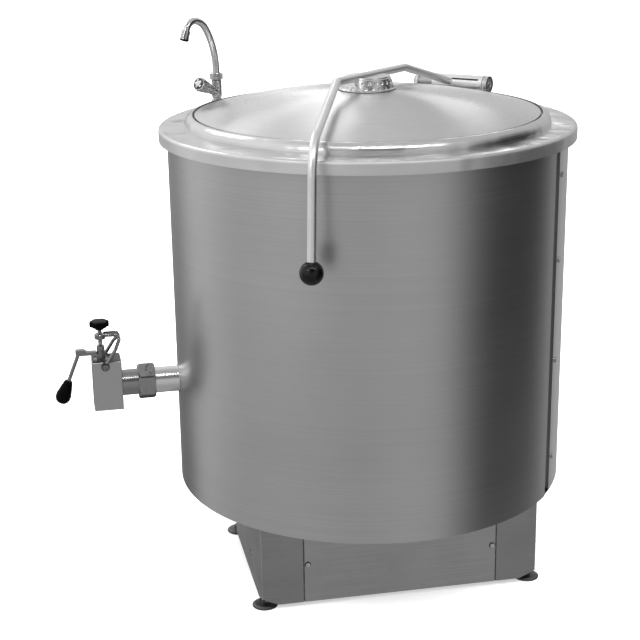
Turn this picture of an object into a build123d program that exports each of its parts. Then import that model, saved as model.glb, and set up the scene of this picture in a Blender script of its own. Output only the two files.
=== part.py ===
from build123d import *
import math
import os

# All lengths are in millimetres. The front of the base faces -Y, the drain valve points to -X.
# Every piece is made about the kettle axis at X = Y = 0, with the floor at Z = 0. The written
# pieces are then moved by AXIS_Y, so that the origin is the centre of the four feet.

FIT = 0.3               # gap between pieces that do not move on each other

# Cooking vessel and steam jacket. The vessel's inner radius leads every other radius.
VESSEL_R = 322.0        # about 150 litres to 50 mm below the lid
VESSEL_WALL = 3.0
VESSEL_CORNER = 40.0
VESSEL_BOTTOM = 352.0   # inner surface at the axis
VESSEL_SIDE_BOTTOM = VESSEL_BOTTOM + 8.0
VESSEL_WELD = VESSEL_SIDE_BOTTOM + VESSEL_CORNER + 24.0
STEAM_ROOM = 28.0       # from the vessel's wall to the outside of the jacket
JACKET_R = VESSEL_R + VESSEL_WALL + STEAM_ROOM
JACKET_WALL = 3.0
JACKET_TOP = 643.0
JACKET_BOTTOM = VESSEL_BOTTOM - 33.0
JACKET_CORNER = 50.0

# Outer body
CASING_ROOM = 32.0      # insulation and air between the jacket and the casing
BODY_R = JACKET_R + CASING_ROOM
BODY_SHEET = 1.5
BODY_BOTTOM = 170.0
SEAM_HALF = 38.5        # half angle of the service opening, centred on +X
SCREW_ANGLE = SEAM_HALF - 4.0
RAIL_R = BODY_R - 8.0

# Rim that closes the top of the body, with the collar round the lid and the seat inside it
RIM_TOP = 879.0
RIM_SHEET = 3.0
RIM_LIP = 16.0
RIM_R = BODY_R + RIM_LIP
RIM_BAND_LOW = RIM_TOP - 24.0
BODY_TOP = RIM_TOP - RIM_SHEET - FIT
LID_LAP = 9.0           # the lid reaches this far past the vessel's wall
LID_R = VESSEL_R + LID_LAP
COLLAR_R = LID_R + 4.6
SHOULDER_R = COLLAR_R + 16.4
COLLAR_TOP = RIM_TOP + 21.0
SEAT_TOP = COLLAR_TOP - 14.3
PANEL_HEIGHTS = [BODY_BOTTOM + part * (RIM_TOP - BODY_BOTTOM) for part in (0.89, 0.66, 0.38, 0.10)]

# Base
BASE_HALF = round((BODY_R - 2.0) / math.sqrt(2))   # its front corners reach the edge of the body
BASE_SHEET = 2.0
BASE_BOTTOM = 10.0
LEG_FACE = 80.0
PANEL_GAP = 2.5
WING_END = 62.0         # the side wings of the front legs run back to here
REAR_OUT = 112.0
FRAME_DEEP = 30.0
SUPPORT_X = 190.0
SUPPORT_Y = (-190.0, REAR_OUT - FRAME_DEEP / 2)
FOOT_X = BASE_HALF - 9.0
FOOT_FRONT = -(BASE_HALF - 25.0)
FOOT_REAR = 90.0
FOOT_R = 23.0
FOOT_THICK = 7.0
FOOT_STUD_R = 5.0
PANEL_SCREW_AT = BASE_HALF - 89.0
PANEL_SCREW_Z = 88.0
WING_SCREW = (-137.0, 59.0)
POST_HALF = 15.0
RELIEF = (33.0, 42.0, 14.0)
AXIS_Y = -(FOOT_FRONT + FOOT_REAR) / 2
PIPE_END = 300.0        # service pipes end this far behind the axis
STEAM_AT = (60.0, 60.0, 110.0)
STEAM_PIPE_R = 16.85
CONDENSATE_AT = (-40.0, 0.0, 75.0)
CONDENSATE_PIPE_R = 10.65

# Lid, hub, arm and hinge
LID_EDGE = COLLAR_TOP - 0.5
LID_RISE = 42.0
LID_APEX = LID_EDGE + LID_RISE
LID_SHEET = 2.0
LID_SKIRT_LOW = SEAT_TOP + 4.8
PLATE_LOW = LID_APEX - 6.5
HUB_R = 54.0
HUB_TOP_R = 45.0
HUB_TOP = LID_APEX + 25.0
HUB_SCREW_R = 30.0
ARM_R = 8.0
HINGE_AZ = 42.5         # degrees from +Y towards +X
HINGE_S = BODY_R - 13.0
HINGE_Z = RIM_TOP + 27.0
BARREL_R = 17.5
BARREL_T = (-40.0, 75.7)        # ends of the barrel along the hinge
BRACKET_T = (BARREL_T[0] - 43.0, BARREL_T[1] + 5.1)
BUSH_LONG = 10.0
SHAFT_R = 7.5
BALL_R = 21.0
ARM_FRONT = (-0.425, -0.9052)   # direction in which the arm comes over the rim
ARM_RISE = (HUB_TOP - 3.0, HUB_TOP + 2.3)
ARM_AT = (155.0, -114.5)        # where the arm bends behind and before the hub
ARM_BEND = (ARM_FRONT[0] * (RIM_R + 35.3), ARM_FRONT[1] * (RIM_R + 35.3), RIM_TOP + 34.0)
BALL = (ARM_FRONT[0] * (RIM_R + 54.5), ARM_FRONT[1] * (RIM_R + 54.5), RIM_TOP - 179.7)

# Drain valve
DRAIN_Z = 386.0
DRAIN_R = 25.4
DRAIN_WALL = 1.5
UNION_X = -(BODY_R + 61.0)      # end of the outlet pipe, inside the union nut
NUT_FLAT = 2 * (DRAIN_R + 6.6)
NUT_R = DRAIN_R + 10.6
FLANGE_R = DRAIN_R + 3.6
BLOCK_X = (UNION_X - 107.0, UNION_X - 50.5)
BLOCK_Y = 27.0
PIN_R = 3.0             # yoke pins, and the studs inside the knobs
SCREW_R = 4.0
LEVER_R = 3.8
BLOCK_Z = (DRAIN_Z - 46.0, DRAIN_Z + 53.0)
PLUG_X = UNION_X - 88.0
PLUG_TOP_R = 15.2
PLUG_LOW_R = 13.6
PLUG_TOP = BLOCK_Z[1]
PLUG_LOW = DRAIN_Z - 30.0
PLUG_FIT = 0.08
SHANK_TOP = DRAIN_Z + 79.8
PIVOT = (UNION_X - 82.0, DRAIN_Z + 45.5)
STRAP_Y = BLOCK_Y + 4.2
EYE_Z = (DRAIN_Z + 93.8, DRAIN_Z + 103.4)
KNOB_Z = DRAIN_Z + 112.5
LEVER_Z = DRAIN_Z + 62.6
LEVER_END = (PLUG_X - 67.2, 0, DRAIN_Z + 6.5)
LEVER_DIR = (-0.377, 0, -0.926)

# Water tap, with its heights above the top of the rim
TAP_R = BODY_R - 10.0
TAP_AZ = 42.5           # degrees from +Y towards -X
KNOB_TILT = 24.0
KNOB_RISE = 26.0
SPOUT = [(0, 63.3), (0, 119.7), (41.9, 177.4), (80.7, 177.4), (89.9, 155.4)]
SPOUT_BENDS = [148, 43, 24]
SPOUT_R = 7.0
FEED = (-150.0, 222.0, 100.0)
FEED_PIPE_R = 6.0

hinge_a = math.radians(HINGE_AZ)
E = (math.sin(hinge_a), math.cos(hinge_a))     # outwards at the hinge
T = (math.cos(hinge_a), -math.sin(hinge_a))    # along the hinge axis
tap_a = math.radians(TAP_AZ)
TAP = (-TAP_R * math.sin(tap_a), TAP_R * math.cos(tap_a))
TAP_DIR = (-math.cos(tap_a), -math.sin(tap_a))  # parked direction of spout and knob
HINGE_BOLTS = [(HINGE_S - 12, t) for t in (-70, -50, 48, 69)]
HUB_SCREWS = [(HUB_SCREW_R * math.cos(math.radians(a)), HUB_SCREW_R * math.sin(math.radians(a)))
              for a in (2.5, 92.5, 182.5, 272.5)]


def turned(points, x=0, y=0):
    """Solid of revolution about a vertical axis from (radius, height) points."""
    outline = Plane.XZ * Polyline(*points, close=True)
    return Pos(x, y, 0) * revolve(make_face(outline), Axis.Z)


def polar(r, degrees, z):
    return (r * math.cos(math.radians(degrees)), r * math.sin(math.radians(degrees)), z)


def turned_arc(points, start, span):
    outline = Plane.XZ * Polyline(*points, close=True)
    return Rot(0, 0, start) * revolve(make_face(outline), Axis.Z, revolution_arc=span)


def rod(p, q, r):
    p, q = Vector(*p), Vector(*q)
    return Solid.make_cylinder(r, (q - p).length, Plane(origin=p, z_dir=(q - p)))


def taper(p, q, r1, r2):
    p, q = Vector(*p), Vector(*q)
    return Solid.make_cone(r1, r2, (q - p).length, Plane(origin=p, z_dir=(q - p)))


def tube(p, q, r, inner):
    p, q = Vector(*p), Vector(*q)
    d = (q - p).normalized()
    return rod(p, q, r) - rod(p - d, q + d, inner)


def block(x1, x2, y1, y2, z1, z2):
    return Pos((x1 + x2) / 2, (y1 + y2) / 2, (z1 + z2) / 2) * Box(x2 - x1, y2 - y1, z2 - z1)


def hinge_point(s, t, z):
    return (E[0] * s + T[0] * t, E[1] * s + T[1] * t, z)


def hinge_block(s1, s2, t1, t2, z1, z2):
    """Box lying along the hinge: s outwards, t along the axis."""
    # local +X goes to E and local +Y goes to -T, so t is mirrored first
    return Rot(0, 0, 90 - HINGE_AZ) * block(s1, s2, -t2, -t1, z1, z2)


def bent_path(points, radii):
    """Straight legs joined by tangent arcs."""
    pts = [Vector(*p) for p in points]
    edges, last = [], pts[0]
    for i in range(1, len(pts) - 1):
        a, b = (pts[i - 1] - pts[i]).normalized(), (pts[i + 1] - pts[i]).normalized()
        half = math.acos(max(-1, min(1, a.dot(b)))) / 2
        r = radii[i - 1]
        cut = r / math.tan(half)
        p1, p2 = pts[i] + a * cut, pts[i] + b * cut
        bis = (a + b).normalized()
        mid = pts[i] + bis * (r / math.sin(half) - r)
        edges.append(Line(last, p1))
        edges.append(ThreePointArc(p1, mid, p2))
        last = p2
    edges.append(Line(last, pts[-1]))
    return Wire([e.edge() for e in edges])


def bent_rod(points, radii, r, inner=0):
    path = bent_path(points, radii)
    start = Plane(origin=path @ 0, z_dir=path % 0)
    face = make_face(start * Circle(r))
    solid = sweep(face, path=path)
    if inner:
        solid = solid - sweep(make_face(start * Circle(inner)), path=path)
    return solid


def hexagon(p, q, flat):
    p, q = Vector(*p), Vector(*q)
    d = q - p
    base = Plane(origin=p, z_dir=d)
    return extrude(base * RegularPolygon(flat / 2, 6, major_radius=False), d.length)


def sphere_zone(r, z_centre):
    return Pos(0, 0, z_centre) * Sphere(r)


def lid_sphere():
    h = LID_APEX - LID_EDGE
    r = (LID_R ** 2 + h * h) / (2 * h)
    return r, LID_APEX - r


def dome_points(r_from, r_to, drop, n=14):
    r, zc = lid_sphere()
    out = []
    for i in range(n + 1):
        x = r_from + (r_to - r_from) * i / n
        out.append((x, zc + math.sqrt((r - drop) ** 2 - x * x)))
    return out


# Cooking vessel, jacket and insulation

def vessel_cavity():
    pts = [(0, VESSEL_BOTTOM), (VESSEL_R - VESSEL_CORNER, VESSEL_SIDE_BOTTOM)]
    for i in range(1, 9):
        a = math.radians(-90 + 90 * i / 8)
        pts.append((VESSEL_R - VESSEL_CORNER + VESSEL_CORNER * math.cos(a),
                    VESSEL_SIDE_BOTTOM + VESSEL_CORNER + VESSEL_CORNER * math.sin(a)))
    pts += [(VESSEL_R, SEAT_TOP + 20), (0, SEAT_TOP + 20)]
    return turned(pts)


def vessel_outline():
    w, c = VESSEL_WALL, VESSEL_CORNER + VESSEL_WALL
    pts = [(0, VESSEL_BOTTOM - w), (VESSEL_R - VESSEL_CORNER, VESSEL_SIDE_BOTTOM - w)]
    for i in range(1, 9):
        a = math.radians(-90 + 90 * i / 8)
        pts.append((VESSEL_R - VESSEL_CORNER + c * math.cos(a),
                    VESSEL_SIDE_BOTTOM + VESSEL_CORNER + c * math.sin(a)))
    pts += [(VESSEL_R + w, SEAT_TOP - w), (COLLAR_R + 2.7, SEAT_TOP - w),
            (COLLAR_R + 2.7, SEAT_TOP), (0, SEAT_TOP)]
    return turned(pts) - vessel_cavity()


def below_weld():
    return rod((0, 0, JACKET_BOTTOM), (0, 0, VESSEL_WELD), BODY_R)


def vessel_shell():
    return vessel_outline() - below_weld()


def vessel_bottom():
    bottom = vessel_outline() & below_weld()
    return bottom - rod((-VESSEL_R + 72, 0, DRAIN_Z), (-VESSEL_R - 18, 0, DRAIN_Z), DRAIN_R + FIT)


def outlet_pipe():
    pipe = rod((-VESSEL_R + 37, 0, DRAIN_Z), (UNION_X + 13.5, 0, DRAIN_Z), DRAIN_R)
    pipe += rod((UNION_X + 13.5, 0, DRAIN_Z), (UNION_X, 0, DRAIN_Z), FLANGE_R)
    pipe -= rod((-VESSEL_R + 42, 0, DRAIN_Z), (UNION_X - 4, 0, DRAIN_Z), DRAIN_R - DRAIN_WALL)
    return pipe - vessel_cavity()


def outlet_strainer():
    """Perforated cup that lifts out of the drain opening."""
    r = DRAIN_R - DRAIN_WALL - FIT
    front = -VESSEL_R
    cup = rod((front, 0, DRAIN_Z), (front - 30, 0, DRAIN_Z), r)
    cup -= rod((front - 2, 0, DRAIN_Z), (front - 34, 0, DRAIN_Z), r - 1.2)
    for y, z in [(0, 0), (11, 0), (-11, 0), (0, 11), (0, -11), (8, 8), (8, -8), (-8, 8), (-8, -8)]:
        cup -= rod((front + 4, y, DRAIN_Z + z), (front - 6, y, DRAIN_Z + z), 2.5)
    return cup


def steam_jacket():
    def shell(grow):
        c = JACKET_CORNER - grow
        r = JACKET_R - grow
        low = JACKET_BOTTOM + grow
        pts = [(0, low), (JACKET_R - JACKET_CORNER, low)]
        for i in range(1, 9):
            a = math.radians(-90 + 90 * i / 8)
            pts.append((JACKET_R - JACKET_CORNER + c * math.cos(a),
                        JACKET_BOTTOM + JACKET_CORNER + c * math.sin(a)))
        return pts + [(r, JACKET_TOP - grow), (0, JACKET_TOP - grow)]
    body = turned(shell(0)) - turned(shell(JACKET_WALL))
    body -= rod((0, 0, JACKET_TOP - 10), (0, 0, JACKET_TOP + 10), VESSEL_R + VESSEL_WALL + FIT)
    body -= rod((-JACKET_R + 53, 0, DRAIN_Z), (-JACKET_R - 7, 0, DRAIN_Z), DRAIN_R + FIT)
    for x, y, r in ((60, 60, 16.85), (-40, 0, 10.65), (230, 0, 10.65)):
        body -= rod((x, y, JACKET_BOTTOM - 5), (x, y, JACKET_BOTTOM + 10), r + FIT)
    return body


def insulation():
    inner, outer, low, top = JACKET_R + 3, BODY_R - 11, JACKET_BOTTOM + 3, RIM_TOP - 49
    ring = turned([(inner, low), (outer, low), (outer, top), (inner, top)])
    ring -= rod((13 - JACKET_R, 0, DRAIN_Z), (-BODY_R - 5, 0, DRAIN_Z), DRAIN_R + 3)
    ring -= rod((TAP[0], TAP[1], low - 20), (TAP[0], TAP[1], top + 10), 11)
    return ring


def vessel_supports():
    parts = []
    low, top = BODY_BOTTOM + 2 + FIT, JACKET_BOTTOM - 4 - FIT
    for x in (-SUPPORT_X, SUPPORT_X):
        for y in SUPPORT_Y:
            post = block(x - 20, x + 20, y - 20, y + 20, low, top)
            post -= block(x - 17, x + 17, y - 17, y + 17, low - 1, top + 1)
            parts.append(post + block(x - 35, x + 35, y - 35, y + 35, top, top + 4))
    return parts


def steam_inlet_pipe():
    top, end = JACKET_BOTTOM + 2, PIPE_END
    x, y, z = STEAM_AT
    pipe = bent_rod([(x, y, top), (x, y, z), (x, end - 15, z)], [45], STEAM_PIPE_R, STEAM_PIPE_R - 3.2)
    return pipe + tube((x, end - 22, z), (x, end, z), 20.0, 15.0)


def condensate_pipe():
    top, end = JACKET_BOTTOM + 2, PIPE_END
    x, y, z = CONDENSATE_AT
    pipe = bent_rod([(x, y, top), (x, y, z), (x, end - 15, z)], [32], CONDENSATE_PIPE_R, CONDENSATE_PIPE_R - 2.6)
    return pipe + tube((x, end - 20, z), (x, end, z), 13.5, 9.3)


def safety_valve():
    x, z = JACKET_R - 123, JACKET_BOTTOM
    body = tube((x, 0, z + 2), (x, 0, z - 20), 10.65, 7)
    body += rod((x, 0, z - 20), (x, 0, z - 62), 17)
    body += rod((x, 0, z - 62), (x, 0, z - 78), 12)
    body += hexagon((x, 0, z - 20), (x, 0, z - 30), 38)
    body += rod((x, 0, z - 44), (x + 34, 0, z - 44), 10)
    return body - rod((x, 0, z - 44), (x + 40, 0, z - 44), 7) - rod((x, 0, z + 5), (x, 0, z - 50), 7)


# Casing

def outer_casing():
    start = SEAM_HALF + 1.5
    span = 360 - 2 * start
    inner = BODY_R - BODY_SHEET
    shell = turned_arc([(inner, BODY_BOTTOM), (BODY_R, BODY_BOTTOM), (BODY_R, BODY_TOP), (inner, BODY_TOP)],
                       start, span)
    # folded edges beside the service opening
    fold = 0.25
    for a in (start, 360 - start - fold):
        shell += turned_arc([(RAIL_R + FIT, BODY_BOTTOM + 4), (BODY_R - 0.5, BODY_BOTTOM + 4),
                             (BODY_R - 0.5, BODY_TOP - 18), (RAIL_R + FIT, BODY_TOP - 18)], a, fold)
    shell -= rod((15 - BODY_R, 0, DRAIN_Z), (-BODY_R - 15, 0, DRAIN_Z), DRAIN_R + 1)
    return shell - rod((TAP[0], TAP[1], RIM_TOP - 21), (TAP[0], TAP[1], RIM_TOP + 1), 19)


def service_panel():
    start = -(SEAM_HALF - 1.7)
    span = 2 * (SEAM_HALF - 1.7)
    inner = BODY_R - BODY_SHEET
    top, low = RIM_BAND_LOW - 1.5, BODY_BOTTOM + 4
    shell = turned_arc([(inner, low), (BODY_R, low), (BODY_R, top), (inner, top)], start, span)
    for a in (start, start + span - 0.25):
        shell += turned_arc([(RAIL_R + FIT, low + 3), (BODY_R - 0.5, low + 3), (BODY_R - 0.5, top - 3),
                             (RAIL_R + FIT, top - 3)], a, 0.25)
    for a in (-SCREW_ANGLE, SCREW_ANGLE):
        for z in PANEL_HEIGHTS:
            shell -= rod(polar(BODY_R - 15, a, z), polar(BODY_R + 5, a, z), 2.8)
    return shell


def panel_rails():
    parts = []
    low, top = BODY_BOTTOM + 6, RIM_TOP - 19
    for start, middle in ((-SEAM_HALF - 3.5, -SCREW_ANGLE), (SEAM_HALF - 6, SCREW_ANGLE)):
        strip = turned_arc([(RAIL_R - 2, low), (RAIL_R, low), (RAIL_R, top), (RAIL_R - 2, top)], start, 9.5)
        for z in PANEL_HEIGHTS:
            strip -= rod(polar(RAIL_R - 7, middle, z), polar(RAIL_R + 3, middle, z), 2.56)
        parts.append(strip)
    return parts


def service_panel_screws():
    parts = []
    for a in (-SCREW_ANGLE, SCREW_ANGLE):
        for z in PANEL_HEIGHTS:
            s = rod(polar(RAIL_R - 2.5, a, z), polar(BODY_R + 1, a, z), 2.5)
            s += rod(polar(BODY_R + 0.2, a, z), polar(BODY_R + 3.4, a, z), 5.2)
            s -= Pos(*polar(BODY_R + 4, a, z)) * Rot(0, 0, a) * Box(3, 1.2, 7)
            parts.append(s)
    return parts


def casing_floor():
    low, inner, outer = BODY_BOTTOM, BODY_R - 12.5, BODY_R - BODY_SHEET - FIT
    plate = rod((0, 0, low), (0, 0, low + 2), inner + 2)
    holes = ((STEAM_AT, STEAM_PIPE_R + 1.15), (CONDENSATE_AT, CONDENSATE_PIPE_R + 1.35), (FEED, FEED_PIPE_R + 3))
    for (x, y, _), r in holes:
        plate -= rod((x, y, low - 5), (x, y, low + 5), r)
    # turned-up flange that the casing is fixed to
    plate += turned([(inner, low), (inner + 2, low), (inner + 2, low + 5), (inner, low + 5)])
    return plate + turned([(inner, low), (outer, low), (outer, low + 2), (inner, low + 2)])


def rim_ring():
    low, top, sheet = RIM_TOP - 19, RIM_TOP + 11, RIM_SHEET
    rise, reach = COLLAR_TOP - RIM_TOP, SHOULDER_R - COLLAR_R
    # outer edge rounded by an arc of 6 mm
    pts = [(RIM_R, RIM_BAND_LOW)]
    for i in range(7):
        a = math.radians(15 * i)
        pts.append((RIM_R - 6 + 6 * math.cos(a), RIM_TOP - 6 + 6 * math.sin(a)))
    pts.append((SHOULDER_R, RIM_TOP))
    for i in range(1, 9):
        a = math.radians(90 * i / 8)
        pts.append((COLLAR_R + reach * math.cos(a), RIM_TOP + rise * math.sin(a)))
    lining = COLLAR_R + sheet
    pts += [(COLLAR_R, SEAT_TOP + FIT), (lining, SEAT_TOP + FIT), (lining, COLLAR_TOP - 4.5)]
    for i in range(7, -1, -1):
        a = math.radians(90 * i / 8)
        r = COLLAR_R + 0.6 + (reach - sheet - 0.6) * math.cos(a)
        pts.append((r, RIM_TOP - sheet + rise * math.sin(a)))
    pts += [(RIM_R - sheet, RIM_TOP - sheet), (RIM_R - sheet, RIM_BAND_LOW)]
    ring = turned(pts)
    ring -= rod((TAP[0], TAP[1], low), (TAP[0], TAP[1], top), 10.7)
    for s, t in HINGE_BOLTS:
        ring -= rod(hinge_point(s, t, low), hinge_point(s, t, top), 3.3)
    return ring


# Base

def plinth_legs():
    """Two bent sheets: a narrow front face and a side wing that covers the frame."""
    parts = []
    h, w, th = BASE_HALF, LEG_FACE, BASE_SHEET
    low, top = BASE_BOTTOM, BODY_BOTTOM - FIT
    for sx in (-1, 1):
        def b(x1, x2, y1, y2, z1, z2):
            xs = sorted((sx * x1, sx * x2))
            return block(xs[0], xs[1], y1, y2, z1, z2)
        leg = b(h - w, h, -h, -h + th, low, top) + b(h - th, h, -h, WING_END, low, top)
        leg += b(h - 14, h - th, -h + 60, WING_END, low, low + th)
        # corner relief over the foot
        front = Plane.XZ * Polyline((sx * (h + 1), low - 1), (sx * (h + 1), low + RELIEF[2]),
                                    (sx * (h - RELIEF[0]), low), (sx * (h - RELIEF[0]), low - 1), close=True)
        leg -= Pos(0, -h + th + 1, 0) * extrude(make_face(front), 2 * th + 2, dir=(0, -1, 0))
        side = Plane.YZ * Polyline((-h - 1, low - 1), (-h - 1, low + RELIEF[2]), (-h + RELIEF[1], low),
                                   (-h + RELIEF[1], low - 1), close=True)
        leg -= Pos(sx * (h + 1), 0, 0) * extrude(make_face(side), 2 * th + 2, dir=(-sx, 0, 0))
        # tab behind the joint with the front panel
        leg += b(h - w, h - w + 12, -h + th, -h + th + 2.3, 55, 125)
        leg += b(PANEL_SCREW_AT - 8, h - w, -h + th + FIT, -h + th + 2.3, 55, 125)
        x = sx * PANEL_SCREW_AT
        leg -= rod((x, -h - 2, PANEL_SCREW_Z), (x, -h + 8, PANEL_SCREW_Z), 2.06)
        y, z = WING_SCREW
        leg -= rod((sx * (h - 8), y, z), (sx * (h + 2), y, z), 2.4)
        parts.append(leg)
    return parts


def front_panel():
    w, h, th = BASE_HALF - LEG_FACE - PANEL_GAP, BASE_HALF, BASE_SHEET
    p = block(-w, w, -h, -h + th, BASE_BOTTOM, BODY_BOTTOM - FIT)
    p += block(-w, w, -h + th, -h + 14, BASE_BOTTOM, BASE_BOTTOM + th)
    for x in (-PANEL_SCREW_AT, PANEL_SCREW_AT):
        p -= rod((x, -h - 2, PANEL_SCREW_Z), (x, -h + 4, PANEL_SCREW_Z), 2.4)
    return p


def slotted_screw(length):
    """Screw along X with its slotted head outwards; X = 0 is the sheet's face."""
    s = rod((-length, 0, 0), (0.2, 0, 0), 2.0) + rod((0.2, 0, 0), (2.8, 0, 0), 4.5)
    return s - Pos(2.8, 0, 0) * Rot(35, 0, 0) * Box(2, 1.1, 12)


def panel_screws():
    parts = []
    for x in (-PANEL_SCREW_AT, PANEL_SCREW_AT):
        parts.append(Pos(x, -BASE_HALF, PANEL_SCREW_Z) * Rot(0, 0, -90) * slotted_screw(9))
    y, z = WING_SCREW
    for sx, turn in ((-1, 180), (1, 0)):
        parts.append(Pos(sx * BASE_HALF, y, z) * Rot(0, 0, turn) * slotted_screw(6))
    return parts


def plinth_frame():
    """Welded square tube frame that carries the vessel, with a post over each foot."""
    out, wide = BASE_HALF - BASE_SHEET - FIT, FRAME_DEEP
    low, top = BODY_BOTTOM - FIT - FRAME_DEEP, BODY_BOTTOM - FIT
    f = block(-out, out, -out, REAR_OUT, low, top)
    f -= block(-out + wide, out - wide, -out + wide, REAR_OUT - wide, low - 1, top + 1)
    bar = SUPPORT_Y[0]
    f += block(-out + wide - 1, out - wide + 1, bar - wide / 2, bar + wide / 2, low, top)
    hollow = block(-out + 3, out - 3, -out + 3, REAR_OUT - 3, low + 3, top - 3)
    hollow -= block(-out + wide - 3, out - wide + 3, -out + wide - 3, REAR_OUT - wide + 3, low, top)
    f -= hollow
    for sx in (-1, 1):
        for y in (FOOT_FRONT, FOOT_REAR):
            x, p = sx * (out - POST_HALF), POST_HALF
            f += block(x - p, x + p, y - p, y + p, 27, low)
            f -= block(x - p + 2, x + p - 2, y - p + 2, y + p - 2, 37, low - 2)
            f -= rod((sx * FOOT_X, y, 20), (sx * FOOT_X, y, 64), FOOT_STUD_R + 0.06)
        # weld strip that the wing screw goes into
        y, z = WING_SCREW
        xs = sorted((sx * (out - 3), sx * out))
        strip = block(xs[0], xs[1], y - 10, y + 10, z - 12, low)
        f += strip - rod((sx * (out - 18), y, z), (sx * (out + 12), y, z), 2.06)
    return f


def foot(sx, y):
    x = sx * FOOT_X
    f = turned([(0, 0), (FOOT_R, 0), (FOOT_R, 3.5), (FOOT_R - 3, 5.5), (11, FOOT_THICK),
                (FOOT_STUD_R, FOOT_THICK),
                (FOOT_STUD_R, 60), (0, 60)], x, y)
    return f + hexagon((x, y, FOOT_THICK), (x, y, FOOT_THICK + 6), 17)


# Drain valve

def union_nut():
    near, far = UNION_X + 14, UNION_X - 19
    n = hexagon((far, 0, DRAIN_Z), (near, 0, DRAIN_Z), NUT_FLAT)
    n &= rod((far, 0, DRAIN_Z), (near, 0, DRAIN_Z), NUT_R)
    for end, step in ((far, 4), (near, -4)):
        cone = taper((end, 0, DRAIN_Z), (end + step, 0, DRAIN_Z), NUT_R - 4, NUT_R)
        n -= rod((end, 0, DRAIN_Z), (end + step, 0, DRAIN_Z), NUT_R + 4) - cone
    n -= rod((far + 4, 0, DRAIN_Z), (near + 2, 0, DRAIN_Z), FLANGE_R + FIT)
    return n - rod((far - 5, 0, DRAIN_Z), (near + 2, 0, DRAIN_Z), DRAIN_R + FIT)


def union_seal():
    start = UNION_X - FIT
    return tube((start, 0, DRAIN_Z), (start - 3, 0, DRAIN_Z), FLANGE_R - 0.4, DRAIN_R - DRAIN_WALL)


def tail_pipe():
    start, end = UNION_X - 3.6, BLOCK_X[1] + FIT
    p = rod((start, 0, DRAIN_Z), (end, 0, DRAIN_Z), DRAIN_R)
    p += rod((start, 0, DRAIN_Z), (start - 11.1, 0, DRAIN_Z), FLANGE_R - 0.4)
    return p - rod((start + 4, 0, DRAIN_Z), (end - 4, 0, DRAIN_Z), DRAIN_R - DRAIN_WALL)


def valve_body():
    near = BLOCK_X[1]
    b = block(*BLOCK_X, -BLOCK_Y, BLOCK_Y, *BLOCK_Z)
    b = chamfer(b.edges().filter_by_position(Axis.Z, BLOCK_Z[1] - 0.1, BLOCK_Z[1] + 0.1), 1.5)
    b = chamfer(b.edges().filter_by(Axis.Z), 1.0)
    b -= rod((near + 6, 0, DRAIN_Z), (near - 11.5, 0, DRAIN_Z), 20.0)
    b -= rod((near + 6, 0, DRAIN_Z), (PLUG_X, 0, DRAIN_Z), 10.5)
    b -= taper((PLUG_X, 0, PLUG_LOW), (PLUG_X, 0, PLUG_TOP + 2), PLUG_LOW_R + PLUG_FIT,
               PLUG_TOP_R + PLUG_FIT + 0.04)
    b -= rod((PLUG_X, 0, BLOCK_Z[0] - 1), (PLUG_X, 0, PLUG_LOW + 1), 12.5)
    for side in (-1, 1):
        y = side * BLOCK_Y
        b -= rod((PIVOT[0], y + side, PIVOT[1]), (PIVOT[0], y - side * 8, PIVOT[1]), PIN_R + 0.06)
    return b


def valve_plug():
    p = taper((PLUG_X, 0, PLUG_LOW + FIT), (PLUG_X, 0, PLUG_TOP), PLUG_LOW_R, PLUG_TOP_R)
    p += taper((PLUG_X, 0, PLUG_TOP), (PLUG_X, 0, SHANK_TOP), 8.8, 7.2)
    p -= rod((PLUG_X, 0, PLUG_LOW - 2), (PLUG_X, 0, DRAIN_Z + 12), 9.5)
    # the side window faces the viewer when the valve is shut
    p -= rod((PLUG_X, 0, DRAIN_Z), (PLUG_X, -20, DRAIN_Z), 8.8)
    return p - rod((PLUG_X, 0, LEVER_Z + 3.2), (PLUG_X - 12, 0, LEVER_Z + 3.2), PIN_R + 0.05)


def plug_lever():
    """Flat bar that thickens to a knuckle, with a round rod down to the grip."""
    x, z = PLUG_X, LEVER_Z
    side = [(x - 9.2, z), (x - 29, z - 0.2), (x - 49, z), (x - 49, z + 11), (x - 33, z + 11.2),
            (x - 27, z + 6.6), (x - 9.2, z + 6.4)]
    bar = extrude(Plane.XZ * make_face(Polyline(*side, close=True)), 6.5, both=True)
    bar += rod((x - 11, 0, z + 3.2), (x - 2, 0, z + 3.2), PIN_R)
    return bar + rod((x - 42.5, 0, z + 4.9), LEVER_END, LEVER_R)


def lever_grip():
    start = Vector(*LEVER_END) - Vector(*LEVER_DIR) * 6.0
    hole = LEVER_R + 0.06
    pts = [(hole, 0), (7.2, 0), (8.6, 3), (10.5, 11), (13.0, 21), (14.8, 30), (14.6, 37), (12.2, 43),
           (7.5, 47), (0, 48.5), (0, 6.4), (hole, 6.4)]
    body = revolve(make_face(Plane.XZ * Polyline(*pts, close=True)), Axis.Z)
    return Plane(origin=start, z_dir=LEVER_DIR) * body


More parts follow.
